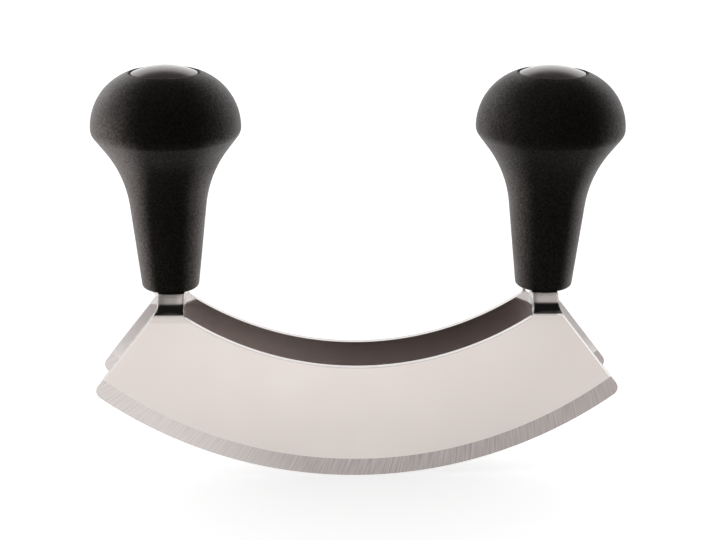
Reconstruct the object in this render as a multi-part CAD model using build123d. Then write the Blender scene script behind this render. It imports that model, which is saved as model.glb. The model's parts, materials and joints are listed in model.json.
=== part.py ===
from build123d import *
import os
from math import acos, atan2, cos, degrees, radians, sin, sqrt, tan

# Double mezzaluna: two crescent blades folded from one steel sheet, and a palm knob at each end.
# Millimetres. X runs along the blades, Y from the front blade to the rear one, Z is up.
# The origin lies midway between the lowest points of the two cutting edges.

# Crescent blades
blade_length = 145.0
blade_height = 32.8
edge_radius = 118.4
hollow_radius = 84.3
end_angle = 37.7
tip_round = 2.6
sheet_thickness = 1.8
fold_width = 22.2
grind_width = 5.4
edge_land = 0.1

# Straps that join the blades over the top, sloping in at 45 degrees to a flat seat.
# The radii of the bends are those of the sheet's inside.
strap_rise = 3.6
strap_width = 7.2
strap_inset = 0.6
slope_size = 3.15
lower_bend_radius = 2.4
upper_bend_radius = 0.3
outer_foot_round = 6.0
inner_foot_round = 0.8
pad_diameter = 10.0
pad_round = 1.5

# Palm knobs
handle_inset = 20.6
foot_radius = 7.9
foot_round = 1.1
stem_taper = 6.4
stem_height = 23.4
shoulder_angle = 37.3
belly_round = 3.6
knob_radius = 20.2
knob_height = 45.0
crown_round = 15.7
lip_width = 0.45

# Core of a knob, open at the top and closed by the cap
floor_thickness = 13.0
core_floor_radius = 5.2
core_top_radius = 6.9
socket_radius = 7.4
socket_depth = 5.5
recess_depth = 1.7

# Cap that snaps into the top of a knob
cap_diameter = 18.0
cap_gap = 0.25
cap_rise = 1.9
cap_edge_round = 0.35
cap_sink = 0.15
cap_plate = 1.3
skirt_length = 4.4
skirt_wall = 1.2
skirt_clearance = 0.05
bead_height = 0.25
bead_length = 0.9
bead_from_end = 0.7

# M4 pan head screw, its washers and its nut
screw_diameter = 4.0
screw_length = 20.0
screw_chamfer = 0.5
hole_clearance = 0.15
thread_clearance = 0.05
head_diameter = 8.0
head_height = 3.1
head_edge = 0.9
cross_width = 4.4
cross_slot = 0.9
cross_depth = 1.8
washer_diameter = 9.0
washer_thickness = 0.8
lock_washer_diameter = 8.0
lock_washer_thickness = 0.5
lock_washer_teeth = 10
tooth_notch_depth = 1.0
tooth_notch_width = 0.8
nut_across_flats = 7.0
nut_height = 3.2
nut_chamfer_angle = 30.0

# How far a cutting shape runs past the face it cuts
overrun = 2.0


def polar(centre, radius, angle):
    """Point at an angle in degrees round a centre, in the plane of a sketch."""
    return (centre[0] + radius * cos(radians(angle)), centre[1] + radius * sin(radians(angle)))


def mirrored(point):
    return (-point[0], point[1])


def circle_height(radius, x):
    """How far a circle's lowest quarter has risen at a distance x from its middle."""
    return radius - sqrt(radius ** 2 - x ** 2)


def rounded(face, corner, radius):
    """A face with the corner at a point rounded, and the corner opposite it too."""
    for x, height in (corner, mirrored(corner)):
        vertex = face.vertices().sort_by_distance((x, height, 0))[0]
        face = fillet(vertex, radius)
    return face


# Straps in the front view: middle line, edges, and the feet where they run into the blade
handle_x = blade_length / 2 - handle_inset
strap_middle_x = handle_x - strap_inset
strap_outer_x = strap_middle_x + strap_width / 2
strap_inner_x = strap_middle_x - strap_width / 2
tip_x = blade_length / 2 - tip_round
tip_centre = (tip_x, tip_round + circle_height(edge_radius - tip_round, tip_x))
tip_end = polar(tip_centre, tip_round, end_angle)
outer_foot = (strap_outer_x, tip_end[1] + (tip_end[0] - strap_outer_x) / tan(radians(end_angle)))
inner_foot = (strap_inner_x, blade_height + circle_height(hollow_radius, strap_inner_x))
strap_height = max(outer_foot[1], inner_foot[1]) + strap_rise

# Heights at which the pieces of a knob stand
strap_underside = strap_height - sheet_thickness
washer_seat = strap_height + floor_thickness
screw_seat = washer_seat + washer_thickness
lock_washer_seat = strap_underside - lock_washer_thickness
nut_seat = lock_washer_seat - nut_height

# Other places worked out from the sizes above
blade_middle_y = (fold_width - sheet_thickness) / 2
hole_radius = screw_diameter / 2 + hole_clearance
recess_radius = cap_diameter / 2 + cap_gap
rim_radius = recess_radius + lip_width
rim_height = knob_height + sqrt(crown_round ** 2 - (rim_radius - knob_radius + crown_round) ** 2)
ledge_height = rim_height - recess_depth
socket_floor = ledge_height - socket_depth
bead_top = ledge_height - skirt_length + bead_from_end + bead_length


def blade_outline():
    """Front view of a blade and its two straps, which run on past the seat, drawn in X and Z."""
    edge_angle = degrees(atan2(tip_centre[1] - edge_radius, tip_x))
    tip_start = polar(tip_centre, tip_round, edge_angle)
    tip_middle = polar(tip_centre, tip_round, (edge_angle + end_angle) / 2)
    strap_top = strap_height + overrun
    side = [tip_end, outer_foot, (strap_outer_x, strap_top), (strap_inner_x, strap_top), inner_foot]
    outline = make_face([
        *ThreePointArc(mirrored(tip_start), (0, 0), tip_start).edges(),
        *ThreePointArc(tip_start, tip_middle, tip_end).edges(),
        *Polyline(*side).edges(),
        *ThreePointArc(inner_foot, (0, blade_height), mirrored(inner_foot)).edges(),
        *Polyline(*[mirrored(point) for point in side]).edges(),
        *ThreePointArc(mirrored(tip_start), mirrored(tip_middle), mirrored(tip_end)).edges(),
    ])
    outline = rounded(outline, outer_foot, outer_foot_round)
    return rounded(outline, inner_foot, inner_foot_round)


def strap_plan(side):
    """Plan view of a strap: it spreads into a round pad under the knob's foot."""
    pad_centre = Vector(side * handle_x, 0)
    strap = Pos(side * strap_middle_x, 0) * Rectangle(strap_width, fold_width)
    plan = strap + Pos(pad_centre) * Circle(pad_diameter / 2)
    corners = [v for v in plan.vertices() if (v.center() - pad_centre).length < fold_width / 2 - pad_round]
    return fillet(corners, pad_round)


def folded_sheet():
    """Section of the folded sheet: up the front, inwards on a slope, over a flat seat and down the rear."""
    half = fold_width / 2
    slope_foot = (half, strap_height - slope_size)
    seat_edge = (half - slope_size, strap_height)
    side = [(half, -overrun), slope_foot, seat_edge]
    outside = Polygon(*side, *[mirrored(point) for point in reversed(side)], align=None)
    outside = rounded(outside, slope_foot, lower_bend_radius + sheet_thickness)
    outside = rounded(outside, seat_edge, upper_bend_radius + sheet_thickness)
    inside = offset(outside, -sheet_thickness)
    return extrude(Plane.YZ * (outside - inside), blade_length / 2 + overrun, both=True)


def grind_ring(middle_y, side):
    """What grinding takes off one face of a blade: a ring about the centre of its cutting edge."""
    half = sheet_thickness / 2
    ring = Polygon(
        (middle_y + side * half, grind_width),
        (middle_y + side * edge_land / 2, 0),
        (middle_y + side * edge_land / 2, -overrun),
        (middle_y + side * (half + overrun), -overrun),
        (middle_y + side * (half + overrun), grind_width),
        align=None,
    )
    return revolve(Plane.YZ * ring, axis=Axis((0, 0, edge_radius), (0, 1, 0)))


def double_blade():
    blank = extrude(Plane.XZ * blade_outline(), fold_width / 2 + overrun, both=True)
    for side in (-1, 1):
        blank += Pos(0, 0, strap_underside) * extrude(strap_plan(side), sheet_thickness + overrun)
    sheet = folded_sheet() & blank
    for side in (-1, 1):
        sheet -= Pos(side * handle_x, 0, strap_underside) * Cylinder(hole_radius, 2 * strap_height)
        for face in (-1, 1):
            sheet -= grind_ring(side * blade_middle_y, face)
    return sheet


def bead_profile(radius, top):
    """Corner points of a snap bead, or of the groove that takes it, from the top down."""
    end = top - bead_length
    return [
        (radius, top),
        (radius + bead_height, top - bead_height),
        (radius + bead_height, end + bead_height),
        (radius, end),
    ]


def handle():
    """Turned form of a palm knob: tapered stem, swept neck, round belly and crown, cored from above."""
    foot = JernArc((foot_radius - foot_round, 0), (1, 0), foot_round, 90 - stem_taper)
    stem_end_r = (foot @ 1).X + (stem_height - (foot @ 1).Y) * tan(radians(stem_taper))
    stem = Line(foot @ 1, (stem_end_r, stem_height))
    belly_start = polar((knob_radius - belly_round, knob_height), belly_round, -shoulder_angle)
    slope = radians(shoulder_angle)
    rise = (belly_start[1] - stem_height) * sin(slope) - (belly_start[0] - stem_end_r) * cos(slope)
    neck_radius = rise / (1 - cos(radians(shoulder_angle - stem_taper)))
    neck = JernArc(stem @ 1, stem % 1, neck_radius, stem_taper - shoulder_angle)
    shoulder = Line(neck @ 1, belly_start)
    belly = JernArc(belly_start, shoulder % 1, belly_round, shoulder_angle)
    crown_sweep = degrees(acos((rim_radius - knob_radius + crown_round) / crown_round))
    crown = JernArc(belly @ 1, (0, 1), crown_round, crown_sweep)
    core = Polyline(
        crown @ 1,
        (recess_radius, rim_height),
        (recess_radius, ledge_height),
        (socket_radius, ledge_height),
        *bead_profile(socket_radius, bead_top),
        (socket_radius, socket_floor),
        (core_top_radius, socket_floor),
        (core_floor_radius, floor_thickness),
        (hole_radius, floor_thickness),
        (hole_radius, 0),
        foot @ 0,
    )
    outer = [foot, stem, neck, shoulder, belly, crown]
    section = make_face([edge for line in (*outer, core) for edge in line.edges()])
    return revolve(Plane.XZ * section, axis=Axis.Z)


def handle_cap():
    """Domed cap with a skirt and a snap bead. Its heights are measured from the knob's foot."""
    radius = cap_diameter / 2
    rim = rim_height - cap_sink
    skirt_radius = socket_radius - skirt_clearance
    skirt_end = ledge_height - skirt_length
    dome_radius = (radius ** 2 + cap_rise ** 2) / (2 * cap_rise)
    dome_middle = (radius / 2, rim + cap_rise - circle_height(dome_radius, radius / 2))
    dome = ThreePointArc((0, rim + cap_rise), dome_middle, (radius, rim))
    body = Polyline(
        dome @ 1,
        (radius, ledge_height),
        (skirt_radius, ledge_height),
        *bead_profile(skirt_radius, bead_top),
        (skirt_radius, skirt_end),
        (skirt_radius - skirt_wall, skirt_end),
        (skirt_radius - skirt_wall, rim - cap_plate),
        (0, rim - cap_plate),
        dome @ 0,
    )
    section = make_face([*dome.edges(), *body.edges()])
    section = fillet(section.vertices().sort_by_distance((radius, rim, 0))[0], cap_edge_round)
    return revolve(Plane.XZ * section, axis=Axis.Z)


def handle_screw():
    """Pan head screw. Its head's underside is at z = 0 and its shank points down."""
    shank = Pos(0, 0, -screw_length / 2) * Cylinder(screw_diameter / 2, screw_length)
    shank = chamfer(shank.edges().group_by(Axis.Z)[0], screw_chamfer)
    head_radius = head_diameter / 2
    crown = head_height - head_edge
    dome_radius = (head_radius ** 2 + crown ** 2) / (2 * crown)
    dome = Pos(0, 0, head_height - dome_radius) * Sphere(dome_radius)
    head = Cylinder(head_radius, head_height, align=(Align.CENTER, Align.CENTER, Align.MIN)) & dome
    cross_top = head_height - cross_depth / 2
    cross = Box(cross_width, cross_slot, cross_depth) + Box(cross_slot, cross_width, cross_depth)
    return shank + head - Pos(0, 0, cross_top) * cross


def plain_washer():
    ring = Circle(washer_diameter / 2) - Circle(hole_radius)
    return extrude(ring, washer_thickness)


def lock_washer():
    """Flat ring with notches round its rim, which leave its teeth."""
    ring = Circle(lock_washer_diameter / 2) - Circle(hole_radius)
    notch_middle = lock_washer_diameter / 2
    notch = Rectangle(2 * tooth_notch_depth, tooth_notch_width)
    ring -= PolarLocations(notch_middle, lock_washer_teeth) * notch
    return extrude(ring, lock_washer_thickness)


def hex_nut():
    """Hexagon nut with both ends turned off to a cone, so that its corners are bevelled."""
    corner_radius = nut_across_flats / sqrt(3)
    body = extrude(RegularPolygon(corner_radius, 6), nut_height)
    drop = (corner_radius - nut_across_flats / 2) * tan(radians(nut_chamfer_angle))
    cone = Polygon(
        (0, 0),
        (nut_across_flats / 2, 0),
        (corner_radius, drop),
        (corner_radius, nut_height - drop),
        (nut_across_flats / 2, nut_height),
        (0, nut_height),
        align=None,
    )
    turned = revolve(Plane.XZ * cone, axis=Axis.Z)
    bore = Cylinder(screw_diameter / 2 + thread_clearance, 2 * nut_height + overrun)
    return (body & turned) - bore


knob_pieces = {
    "handle": (handle, strap_height),
    "handle_cap": (handle_cap, strap_height),
    "handle_screw": (handle_screw, screw_seat),
    "plain_washer": (plain_washer, washer_seat),
    "lock_washer": (lock_washer, lock_washer_seat),
    "hex_nut": (hex_nut, nut_seat),
}

os.makedirs("parts", exist_ok=True)
export_step(double_blade(), "parts/double_blade.step")
for name, (make, height) in knob_pieces.items():
    piece = make()
    for side, x in (("left", -handle_x), ("right", handle_x)):
        export_step(Pos(x, 0, height) * piece, f"parts/{side}_{name}.step")
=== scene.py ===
import bpy
import json
import math
from mathutils import Matrix

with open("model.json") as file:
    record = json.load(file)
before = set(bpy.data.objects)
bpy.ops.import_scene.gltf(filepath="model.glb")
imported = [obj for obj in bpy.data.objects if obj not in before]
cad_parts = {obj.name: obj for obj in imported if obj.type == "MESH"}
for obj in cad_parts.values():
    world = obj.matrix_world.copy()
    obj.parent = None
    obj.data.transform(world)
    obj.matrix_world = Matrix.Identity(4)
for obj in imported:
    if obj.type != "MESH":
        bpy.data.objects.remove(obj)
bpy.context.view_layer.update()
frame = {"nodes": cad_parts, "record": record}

MM = 0.001

# Sizes that the steel's finish follows, in metres. The end cuts lean by END_TURN, and lie END_REACH
# from the origin, seen from the front.
EDGE_RADIUS = 118.4 * MM
GRIND_WIDTH = 5.4 * MM
GRIND_BLUR = 0.06 * MM
BETWEEN_HALF = 10.2 * MM
STRAP_FOOT = 48.0 * MM
STRAP_MIDDLE = 51.3 * MM
SEAT_LOW = 51.0 * MM
SEAT_BEND_MIDDLE = 51.24 * MM
SEAT_BEND_RADIUS = 2.1 * MM
END_TURN = math.radians(37.7)
END_REACH = 73.85 * MM

# Colours. A pair is mixed by a texture or a place. Several of them are painted light and shade, as said
# where they are used.
FACE = (0.757, 0.690, 0.652), (0.809, 0.740, 0.702)
FACE_SHADED = (0.655, 0.595, 0.562)
BEVEL = (0.47, 0.43, 0.42), (0.62, 0.575, 0.56)
# The bevel's painted highlight at its left end and painted shade toward its right end
BEVEL_LIT_LEFT = (0.74, 0.69, 0.67)
BEVEL_SHADED_RIGHT = (0.40, 0.35, 0.34)
BEVEL_STROKE = (0.34, 0.30, 0.29)
# Painted shade on the inner faces between the blades, and painted light on their open ends
INNER_SHADED = (0.67, 0.63, 0.615), (0.55, 0.51, 0.50)
INNER_LIT_END = (0.85, 0.82, 0.81)
# Painted highlight on the rims of the end cuts and the right strap's sides
RIM_HIGHLIGHT = (0.98, 0.95, 0.94)
CUT = (0.47, 0.445, 0.435), (0.64, 0.61, 0.60)
FASTENER = (0.52, 0.50, 0.49), (0.66, 0.64, 0.62)
PLASTIC = (0.0185, 0.0171, 0.0150), (0.0357, 0.0327, 0.0290)
CAP = (0.010, 0.008, 0.0085), (0.016, 0.013, 0.0135)
FLOOR = (0.02, 0.02, 0.02), (0.8, 0.8, 0.8)

# How fine the steel's textures are, along and across the sheet or the cutting edge
BRUSH_SCALE = (60.0, 9000.0)
LINE_SCALE = (6500.0, 160.0)
STROKE_SCALE = (1900.0, 60.0)
LINE_SLANT = 0.3

# Spans: the low and high end of a value, then what it gives there, which is 0 and 1 where unsaid
# Painted shade on the outer faces: darker toward the right, at the left end, low down, and in a band just
# under each strap's bend
SHADE_RIGHT = (0.0, 62.0 * MM)
SHADE_LEFT = (-65.0 * MM, -10.0 * MM, 0.4, 0.0)
SHADE_LOW = (10.0 * MM, 46.0 * MM, 0.35, 0.0)
SHADE_BY_BEND = (45.6 * MM, 46.6 * MM, 0.0, 0.9)
# Where the bevel's painted highlight and painted shade fall
BEVEL_LIGHT_TO_LEFT = (-55.0 * MM, -5.0 * MM, 1.0, 0.0)
BEVEL_SHADE_TO_RIGHT = (0.0, 45.0 * MM, 0.0, 0.45)
STROKE_TONE = (0.35, 0.75)
STROKE_DEPTH = (-40.0 * MM, 20.0 * MM, 0.3, 1.0)
# Where the inner faces' painted shade deepens and where their open ends are lit
INNER_SHADE_TO_RIGHT = (-30.0 * MM, 40.0 * MM)
OPEN_END = (50.0 * MM, 58.0 * MM)
# Where the rims' painted highlight lies
END_LINE = (END_REACH - 0.45 * MM, END_REACH - 0.25 * MM)
END_HIGHLIGHT_TO_RIGHT = (-20.0 * MM, 20.0 * MM, 0.35, 1.0)
SIDE_LINE = (2.9 * MM, 3.3 * MM)
RIGHT_STRAP = (0.0, 1.0 * MM)
CUT_TO_STRAP = (47.0 * MM, 48.5 * MM)
FACE_ROUGHNESS = (0.2, 0.8, 0.13, 0.19)
BEVEL_ROUGHNESS = (0.2, 0.8, 0.30, 0.42)
CUT_ROUGHER = 0.14
OPEN_END_ROUGHER = 0.2

# Fine shape of the steel: the crisp upper bend, the roll at a strap's foot, the press mark inside each
# blade below a strap, and the dome across a strap
CRISP_FROM = math.radians(44.0)
ROLL = (47.7 * MM, 49.0 * MM, 0.0, -0.027 * MM)
PRESS_FOOT = 44.9 * MM
PRESS_TOP = 48.5 * MM
PRESS_CORNER = 49.3 * MM
PRESS_SLANT = 0.4
PRESS_BLEND = 0.7 * MM
PRESS_SHARE = 0.6
DOME_HALF = 3.6 * MM
DOME_END = 3.7 * MM
DOME_FOOT = (48.8 * MM, 49.6 * MM)
DOME_OUTSIDE = (5.5 * MM, 6.5 * MM)
DOME_DEPTH = (51.3 * MM, 52.3 * MM, -0.3 * MM, 0.0)
SOFT_EDGE = (48.0 * MM, 49.5 * MM, 0.12 * MM, 0.6 * MM)
BRUSH_DEPTH = 0.002 * MM

# The plastic's grain, and its gloss: from the stem up to the belly, and on undersides
SPECKS = (0.3, 0.75)
SPECK_SHINE = (0.3, 0.75, 0.62, 1.55)
KNOB_RISE = (78.0 * MM, 92.0 * MM)
LEFT_UNDERSIDE = (-0.25, 0.5, 1.6, 0.45)
OTHER_UNDERSIDE = (-0.25, 0.5, 1.2, 0.45)
INWARD = (-70.0 * MM, -50.0 * MM)
INWARD_REACH = 20.0 * MM
SHOULDER_TURN = (-0.70, -0.45)
SHOULDER_SHINE = (-20.0 * MM, 20.0 * MM, 0.12, 0.04)

# Camera, set so that the render lines up with the photograph
CAMERA_PLACE = (-15.525 * MM, -408.405 * MM, 189.864 * MM)
CAMERA_PITCH = math.radians(17.923)
CAMERA_YAW = math.radians(2.1806)
CAMERA_ROLL = math.radians(0.4281)
CAMERA_LENS = 77.70
SENSOR_WIDTH = 36.0

# The studio. The white sheet on the floor ends in front of the picture, and the light comes from the
# left and from behind. The spans are read on the unit vector of a direction.
FLOOR_HALF = 6.0
SHEET_END = -215.0 * MM
SHEET_FADE = 52.0 * MM
FLOOR_GLOW_SEEN = 0.72
FLOOR_GLOW_REFLECTED = 0.73
CEILING_LIGHT = 0.32
RIGHT_CEILING_LIGHT = 2.6 * CEILING_LIGHT
FRONT_LIGHT = 0.01
LEFT_LIGHT = (-0.3, -0.9, 0.0, 0.6)
BACK_LIGHT = (0.2, 0.8, 0.0, 0.75)
BACK_DIP = 0.36
SIDE_DIP = 0.35
CEILING_RISE = (0.80, 0.95)
TO_RIGHT = (-0.25, 0.2)
TO_FRONT = (-0.25, -0.05, 1.0, 0.0)
UNLIT_TURN = (-0.45, -0.10, 1.0, 0.0)
UNLIT_RISE = (0.84, 0.97, 1.0, 0.0)
LIT_SIDE_TURN = 0.2


class Nodes:
    """A node tree, with short calls to add its nodes."""

    def __init__(self, tree):
        self.tree = tree

    def put(self, socket, value):
        if isinstance(value, bpy.types.NodeSocket):
            self.tree.links.new(value, socket)
        else:
            socket.default_value = value

    def math(self, operation, *values):
        node = self.tree.nodes.new("ShaderNodeMath")
        node.operation = operation
        for socket, value in zip(node.inputs, values):
            self.put(socket, value)
        return node.outputs[0]

    def chain(self, operation, first, *others):
        """The operation over all the values, from the first one on."""
        for value in others:
            first = self.math(operation, first, value)
        return first

    def add(self, *values):
        return self.chain("ADD", *values)

    def times(self, *values):
        return self.chain("MULTIPLY", *values)

    def most(self, *values):
        return self.chain("MAXIMUM", *values)

    def minus(self, value, taken):
        return self.math("SUBTRACT", value, taken)

    def absolute(self, value):
        return self.math("ABSOLUTE", value)

    def less(self, value, limit):
        return self.math("LESS_THAN", value, limit)

    def vector(self, x, y, z):
        node = self.tree.nodes.new("ShaderNodeCombineXYZ")
        for socket, value in zip(node.inputs, (x, y, z)):
            self.put(socket, value)
        return node.outputs[0]

    def axes(self, vector=None):
        node = self.tree.nodes.new("ShaderNodeSeparateXYZ")
        self.put(node.inputs[0], self.place if vector is None else vector)
        return node.outputs

    def ray(self, *kinds):
        """1 for rays of the named kinds, or else 0."""
        path = self.tree.nodes.new("ShaderNodeLightPath")
        return self.most(*[path.outputs[f"Is {kind} Ray"] for kind in kinds])

    def noise(self, vector, scale=1.0, detail=2.0, roughness=0.5):
        node = self.tree.nodes.new("ShaderNodeTexNoise")
        self.put(node.inputs["Vector"], vector)
        node.inputs["Scale"].default_value = scale
        node.inputs["Detail"].default_value = detail
        node.inputs["Roughness"].default_value = roughness
        return node.outputs["Fac"]

    def span(self, value, low, high, to_low=0.0, to_high=1.0, smooth=True):
        node = self.tree.nodes.new("ShaderNodeMapRange")
        node.interpolation_type = "SMOOTHSTEP" if smooth else "LINEAR"
        for socket, number in zip(node.inputs, (value, low, high, to_low, to_high)):
            self.put(socket, number)
        return node.outputs[0]

    def between_values(self, share, first, second):
        """The first value at share 0 and the second at share 1."""
        return self.span(share, 0.0, 1.0, first, second, smooth=False)

    def mix(self, factor, first, second):
        node = self.tree.nodes.new("ShaderNodeMix")
        node.data_type = "RGBA"
        self.put(node.inputs["Factor"], factor)
        for name, value in (("A", first), ("B", second)):
            socket = [s for s in node.inputs if s.name == name and s.type == "RGBA"][0]
            self.put(socket, (*value, 1.0) if isinstance(value, tuple) else value)
        return [s for s in node.outputs if s.type == "RGBA"][0]

    def bump(self, height, distance, strength=1.0, before=None):
        node = self.tree.nodes.new("ShaderNodeBump")
        self.put(node.inputs["Height"], height)
        node.inputs["Distance"].default_value = distance
        node.inputs["Strength"].default_value = strength
        if before is not None:
            self.put(node.inputs["Normal"], before)
        return node.outputs[0]


class Shader(Nodes):
    """A material with a Principled surface. Its textures follow the object's own coordinates."""

    def __init__(self, name):
        self.material = bpy.data.materials.new(name)
        self.material.use_nodes = True
        super().__init__(self.material.node_tree)
        self.surface = self.tree.nodes["Principled BSDF"]
        self.place = self.tree.nodes.new("ShaderNodeTexCoord").outputs["Object"]

    def soft_edges(self, radius):
        """Normals that round every sharp edge a little, so that it catches the light."""
        node = self.tree.nodes.new("ShaderNodeBevel")
        node.samples = 6
        self.put(node.inputs["Radius"], radius)
        return node.outputs[0]

    def normal(self, kind="Normal"):
        """The surface's own normal, smoothed or, as True Normal, as flat as its facets."""
        return self.axes(self.tree.nodes.new("ShaderNodeNewGeometry").outputs[kind])

    def set(self, **values):
        for name, value in values.items():
            socket = self.surface.inputs[name.replace("_", " ")]
            self.put(socket, (*value, 1.0) if isinstance(value, tuple) else value)
        return self.material


class Steel(Shader):
    """The sheet's steel, with the places, masks and textures that its finish follows."""

    def __init__(self):
        super().__init__("blade_steel")
        x, y, z = self.x, self.y, self.z = self.axes()
        self.wide = self.absolute(x)
        self.off_middle = self.absolute(self.minus(self.wide, STRAP_MIDDLE))
        self.above = self.math("GREATER_THAN", z, STRAP_FOOT)
        self.below = self.less(z, STRAP_FOOT)
        self.between = self.times(self.less(self.absolute(y), BETWEEN_HALF), self.below)
        self.open_end = self.times(self.between, self.span(self.wide, *OPEN_END))
        self.cut = self.cut_edges()

        drop = self.minus(EDGE_RADIUS, z)
        radius = self.math("SQRT", self.add(self.math("POWER", x, 2.0), self.math("POWER", drop, 2.0)))
        along = self.times(self.math("ARCTAN2", x, drop), EDGE_RADIUS)
        slant = self.add(along, self.times(radius, LINE_SLANT))
        grind_line = EDGE_RADIUS - GRIND_WIDTH
        self.ground = self.span(radius, grind_line - GRIND_BLUR, grind_line + GRIND_BLUR)
        brush_x, brush_z = self.scaled(x, z, BRUSH_SCALE)
        self.brush = self.noise(self.vector(brush_x, y, brush_z), detail=3.0)
        self.lines = self.noise(self.vector(*self.scaled(slant, radius, LINE_SCALE), y), detail=3.0)
        self.strokes = self.noise(self.vector(*self.scaled(slant, radius, STROKE_SCALE), y))

    def scaled(self, first, second, scales):
        return self.times(first, scales[0]), self.times(second, scales[1])

    def cut_edges(self):
        """1 on the cut edges of the sheet, or else 0. The seat's level top isn't one."""
        normal_x, normal_y, normal_z = self.normal("True Normal")
        off_seat = self.most(self.less(self.z, SEAT_LOW), self.less(self.absolute(normal_z), 0.7))
        return self.times(self.less(self.absolute(normal_y), 0.2), off_seat)

    def painted_rim_highlight(self):
        """Painted highlight: thin bright rims along the end cuts, more so on the right, and along the right
        strap's sides.
        """
        out = self.add(self.times(self.wide, math.cos(END_TURN)), self.times(self.z, math.sin(END_TURN)))
        by_end = self.times(self.span(out, *END_LINE), self.span(self.x, *END_HIGHLIGHT_TO_RIGHT),
                            self.minus(1.0, self.most(self.between, self.above)))
        by_side = self.times(self.span(self.off_middle, *SIDE_LINE), self.above,
                             self.span(self.x, *RIGHT_STRAP))
        return self.most(by_end, by_side)

    def face_colour(self):
        cloud = self.noise(self.place, scale=45.0)
        tone = self.add(self.times(self.brush, 0.25), self.times(cloud, 0.75))
        # Painted shade: the outer faces darken toward the right, at the left end, low down and just under
        # each bend
        shade = self.most(self.span(self.x, *SHADE_RIGHT, smooth=False), self.span(self.x, *SHADE_LEFT))
        shade = self.add(shade, self.span(self.z, *SHADE_LOW, smooth=False))
        shade = self.most(shade, self.times(self.span(self.z, *SHADE_BY_BEND), self.below))
        outer = self.mix(shade, self.mix(self.span(tone, 0.3, 0.7), *FACE), FACE_SHADED)
        # Painted shade between the blades: the inner faces are darker, more so toward the right, and lighter
        # at the open ends, where the front blade casts no shade
        shaded_inner = self.mix(self.open_end, self.mix(self.span(self.x, *INNER_SHADE_TO_RIGHT), *INNER_SHADED), INNER_LIT_END)
        # Painted highlight on the rims
        face = self.mix(self.painted_rim_highlight(), self.mix(self.between, outer, shaded_inner), RIM_HIGHLIGHT)
        return self.mix(self.cut, face, self.mix(self.span(self.z, *CUT_TO_STRAP), *CUT))

    def bevel_colour(self):
        bevel = self.mix(self.span(self.lines, 0.25, 0.75), *BEVEL)
        # Painted light and shade: the bevel is lighter at its left end, where the light comes from, and
        # darker toward the right
        bevel = self.mix(self.span(self.x, *BEVEL_LIGHT_TO_LEFT), bevel, BEVEL_LIT_LEFT)
        bevel = self.mix(self.span(self.x, *BEVEL_SHADE_TO_RIGHT), bevel, BEVEL_SHADED_RIGHT)
        strokes = self.times(self.span(self.strokes, *STROKE_TONE), self.span(self.x, *STROKE_DEPTH))
        return self.mix(strokes, bevel, BEVEL_STROKE)

    def roughness(self):
        face = self.add(self.span(self.brush, *FACE_ROUGHNESS), self.times(self.cut, CUT_ROUGHER),
                        self.times(self.open_end, OPEN_END_ROUGHER))
        bevel = self.span(self.lines, *BEVEL_ROUGHNESS)
        return self.add(face, self.times(self.ground, self.minus(bevel, face)))

    def fine_shape(self):
        """Height of the fine shape: crisp bend, dome, roll and press mark."""
        up_bend = self.math("DIVIDE", self.minus(self.z, SEAT_BEND_MIDDLE), SEAT_BEND_RADIUS)
        bend = self.math("ARCSINE", up_bend)
        past = self.most(self.minus(bend, CRISP_FROM), 0.0)
        crisp = self.times(self.math("POWER", past, 2.0), SEAT_BEND_RADIUS / 2)
        share = self.math("DIVIDE", self.math("MINIMUM", self.off_middle, DOME_END), DOME_HALF)
        on_strap = self.times(self.span(self.z, *DOME_FOOT), self.span(self.absolute(self.y), *DOME_OUTSIDE))
        domed = self.times(self.math("POWER", share, 4.0), on_strap, self.span(self.x, *DOME_DEPTH))
        beside = self.most(self.minus(PRESS_CORNER, self.wide), 0.0)
        press_foot = self.add(PRESS_FOOT, self.times(beside, PRESS_SLANT))
        over_foot = self.minus(self.math("MINIMUM", self.z, PRESS_TOP), press_foot)
        pressed = self.times(self.math("SMOOTH_MAX", over_foot, 0.0, PRESS_BLEND), self.between, PRESS_SHARE)
        return self.add(crisp, domed, self.span(self.z, *ROLL), pressed)

    def texture(self):
        """Height of the brush on the faces and of the ground lines on the bevels."""
        return self.add(self.times(self.brush, self.minus(1.0, self.ground)),
                        self.times(self.lines, self.ground, 2.0))


def blade_steel():
    """Satin stainless sheet. Below the grind line it is ground across the edge, and greyer."""
    s = Steel()
    shaped = s.bump(s.fine_shape(), 1.0, before=s.soft_edges(s.span(s.z, *SOFT_EDGE)))
    return s.set(Base_Color=s.mix(s.ground, s.face_colour(), s.bevel_colour()), Metallic=1.0,
                 Roughness=s.roughness(), Normal=s.bump(s.texture(), BRUSH_DEPTH, before=shaped))


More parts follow.
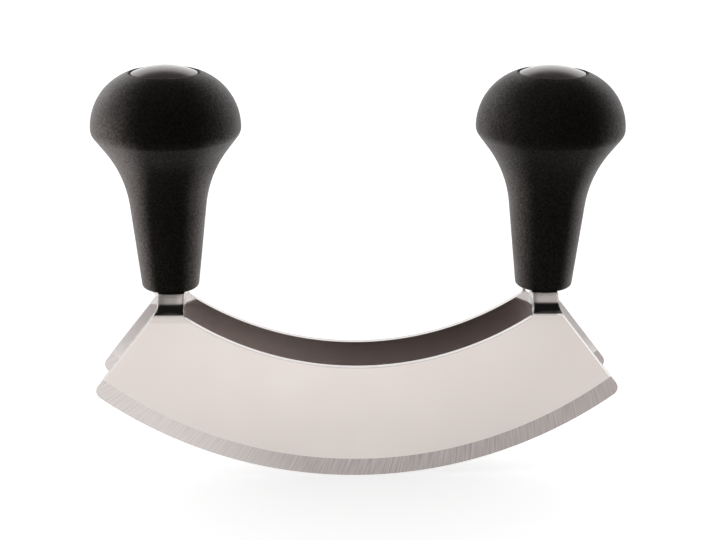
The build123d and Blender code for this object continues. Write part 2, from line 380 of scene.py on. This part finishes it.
def handle_plastic():
    """Black moulded plastic with an eroded grain. Its gloss shows on the flanks and under the belly,
    more so on the left knob's outer flank, and hardly on the front."""
    s = Shader("handle_plastic")
    grain = s.noise(s.place, scale=2600.0, detail=3.0, roughness=0.6)
    specks = s.noise(s.place, scale=1700.0)
    cloud = s.noise(s.place, scale=120.0)
    colour = s.mix(s.span(specks, *SPECKS), *PLASTIC)
    rough = s.add(s.span(cloud, 0.3, 0.7, 0.38, 0.44), s.span(grain, 0.3, 0.7, 0.0, 0.06))
    x, y, z = s.axes()
    normal_x, normal_y, normal_z = s.normal()
    flat = s.math("SQRT", s.minus(1.001, s.math("POWER", normal_z, 2.0)))
    sideways = s.math("DIVIDE", s.absolute(normal_x), flat)
    left_side = s.times(s.span(sideways, s.span(z, *KNOB_RISE, 0.35, 0.15), 0.9),
                        s.span(z, *KNOB_RISE, 0.74, 0.92), s.span(normal_z, *LEFT_UNDERSIDE))
    other_sides = s.times(s.span(sideways, 0.4, 1.0), s.span(z, *KNOB_RISE, 0.62, 0.36),
                          s.span(normal_z, *OTHER_UNDERSIDE))
    inward = s.span(s.add(x, s.times(normal_x, INWARD_REACH)), *INWARD)
    shine = s.add(s.between_values(inward, left_side, other_sides),
                  s.span(normal_z, *SHOULDER_TURN, s.span(x, *SHOULDER_SHINE), 0.02))
    return s.set(Base_Color=colour, Roughness=rough,
                 Specular_IOR_Level=s.times(shine, s.span(specks, *SPECK_SHINE)),
                 Specular_Tint=(1.0, 0.84, 0.80), Sheen_Weight=0.05, Sheen_Roughness=0.4,
                 Sheen_Tint=(1.0, 0.72, 0.70), Normal=s.bump(grain, 0.08 * MM))


def cap_plastic():
    """The same black, moulded smooth, with faint wear."""
    s = Shader("cap_plastic")
    wear = s.noise(s.place, scale=400.0, detail=4.0)
    colour = s.mix(s.span(wear, 0.35, 0.75), *CAP)
    return s.set(Base_Color=colour, Roughness=s.span(wear, 0.3, 0.7, 0.16, 0.22), Specular_IOR_Level=0.6,
                 Specular_Tint=(1.0, 0.74, 0.72), Normal=s.bump(wear, 0.01 * MM))


def fastener_steel():
    """Plain stainless steel, faintly worn."""
    s = Shader("fastener_steel")
    wear = s.noise(s.place, scale=900.0, detail=4.0)
    colour = s.mix(s.span(wear, 0.3, 0.7), *FASTENER)
    return s.set(Base_Color=colour, Metallic=1.0, Roughness=s.span(wear, 0.3, 0.7, 0.25, 0.38),
                 Normal=s.bump(wear, 0.01 * MM))


def dress(slots):
    """Each CAD node takes the material of its slot in the record."""
    for part in frame["record"]["subparts"]:
        node = frame["nodes"][part["node"]]
        node.data.materials.clear()
        node.data.materials.append(slots[part["material_slot"]])


def floor_material():
    """White round the object, keeping a soft shadow. In front, outside the picture, it goes dark, as
    a studio table does past its white sheet: the steel and the plastic show that."""
    s = Shader("floor")
    x, y, z = s.axes()
    white = s.span(y, SHEET_END, SHEET_END + SHEET_FADE)
    glow_seen = s.times(s.ray("Camera", "Transmission"), s.between_values(white, 1.0, FLOOR_GLOW_SEEN))
    glow_reflected = s.times(s.ray("Glossy"), s.times(white, FLOOR_GLOW_REFLECTED))
    return s.set(Base_Color=s.mix(white, *FLOOR), Roughness=0.9, Emission_Color=(1.0, 1.0, 1.0),
                 Emission_Strength=s.add(glow_seen, glow_reflected))


def make_floor():
    mesh = bpy.data.meshes.new("floor")
    corners = [(-1, -1), (1, -1), (1, 1), (-1, 1)]
    mesh.from_pydata([(FLOOR_HALF * x, FLOOR_HALF * y, 0) for x, y in corners], [], [(0, 1, 2, 3)])
    floor = bpy.data.objects.new("floor", mesh)
    bpy.context.scene.collection.objects.link(floor)
    mesh.materials.append(floor_material())


def make_world():
    """A white studio: bright at the left and the back, with a greyer ceiling, which is lighter over the
    front right, and an unlit side behind the camera. The camera itself sees plain white."""
    world = bpy.data.worlds.new("studio")
    bpy.context.scene.world = world
    world.use_nodes = True
    n = Nodes(world.node_tree)
    background = n.tree.nodes["Background"]
    x, y, z = n.axes(n.tree.nodes.new("ShaderNodeTexCoord").outputs["Generated"])
    behind = n.most(y, 0.0)
    aside = n.times(n.absolute(x), n.minus(1.0, behind))
    dip = n.add(n.times(behind, BACK_DIP), n.times(aside, SIDE_DIP))
    ceiling = n.span(n.add(z, dip), *CEILING_RISE)
    right_front = n.times(n.span(x, *TO_RIGHT), n.span(y, *TO_FRONT))
    overhead = n.between_values(right_front, CEILING_LIGHT, RIGHT_CEILING_LIGHT)
    around = n.add(1.0, n.add(n.span(x, *LEFT_LIGHT), n.span(y, *BACK_LIGHT)))
    turned = n.minus(y, n.times(x, LIT_SIDE_TURN))
    unlit = n.times(n.span(turned, *UNLIT_TURN), n.span(z, *UNLIT_RISE))
    light = n.times(n.between_values(ceiling, around, overhead), n.between_values(unlit, 1.0, FRONT_LIGHT))
    n.put(background.inputs["Color"], (1.0, 1.0, 1.0, 1.0))
    n.put(background.inputs["Strength"], n.most(light, n.ray("Camera")))


def make_camera():
    data = bpy.data.cameras.new("camera")
    data.sensor_width = SENSOR_WIDTH
    data.lens = CAMERA_LENS
    data.clip_start = 0.01
    camera = bpy.data.objects.new("camera", data)
    turn = Matrix.Rotation(-CAMERA_YAW, 4, "Z")
    turn = turn @ Matrix.Rotation(math.pi / 2 - CAMERA_PITCH, 4, "X")
    turn = turn @ Matrix.Rotation(CAMERA_ROLL, 4, "Z")
    camera.matrix_world = Matrix.Translation(CAMERA_PLACE) @ turn
    bpy.context.scene.collection.objects.link(camera)
    bpy.context.scene.camera = camera


dress({
    "blade_steel": blade_steel(),
    "handle_plastic": handle_plastic(),
    "cap_plastic": cap_plastic(),
    "fastener_steel": fastener_steel(),
})
make_floor()
make_world()
make_camera()

bpy.context.scene.view_settings.view_transform = "Standard"
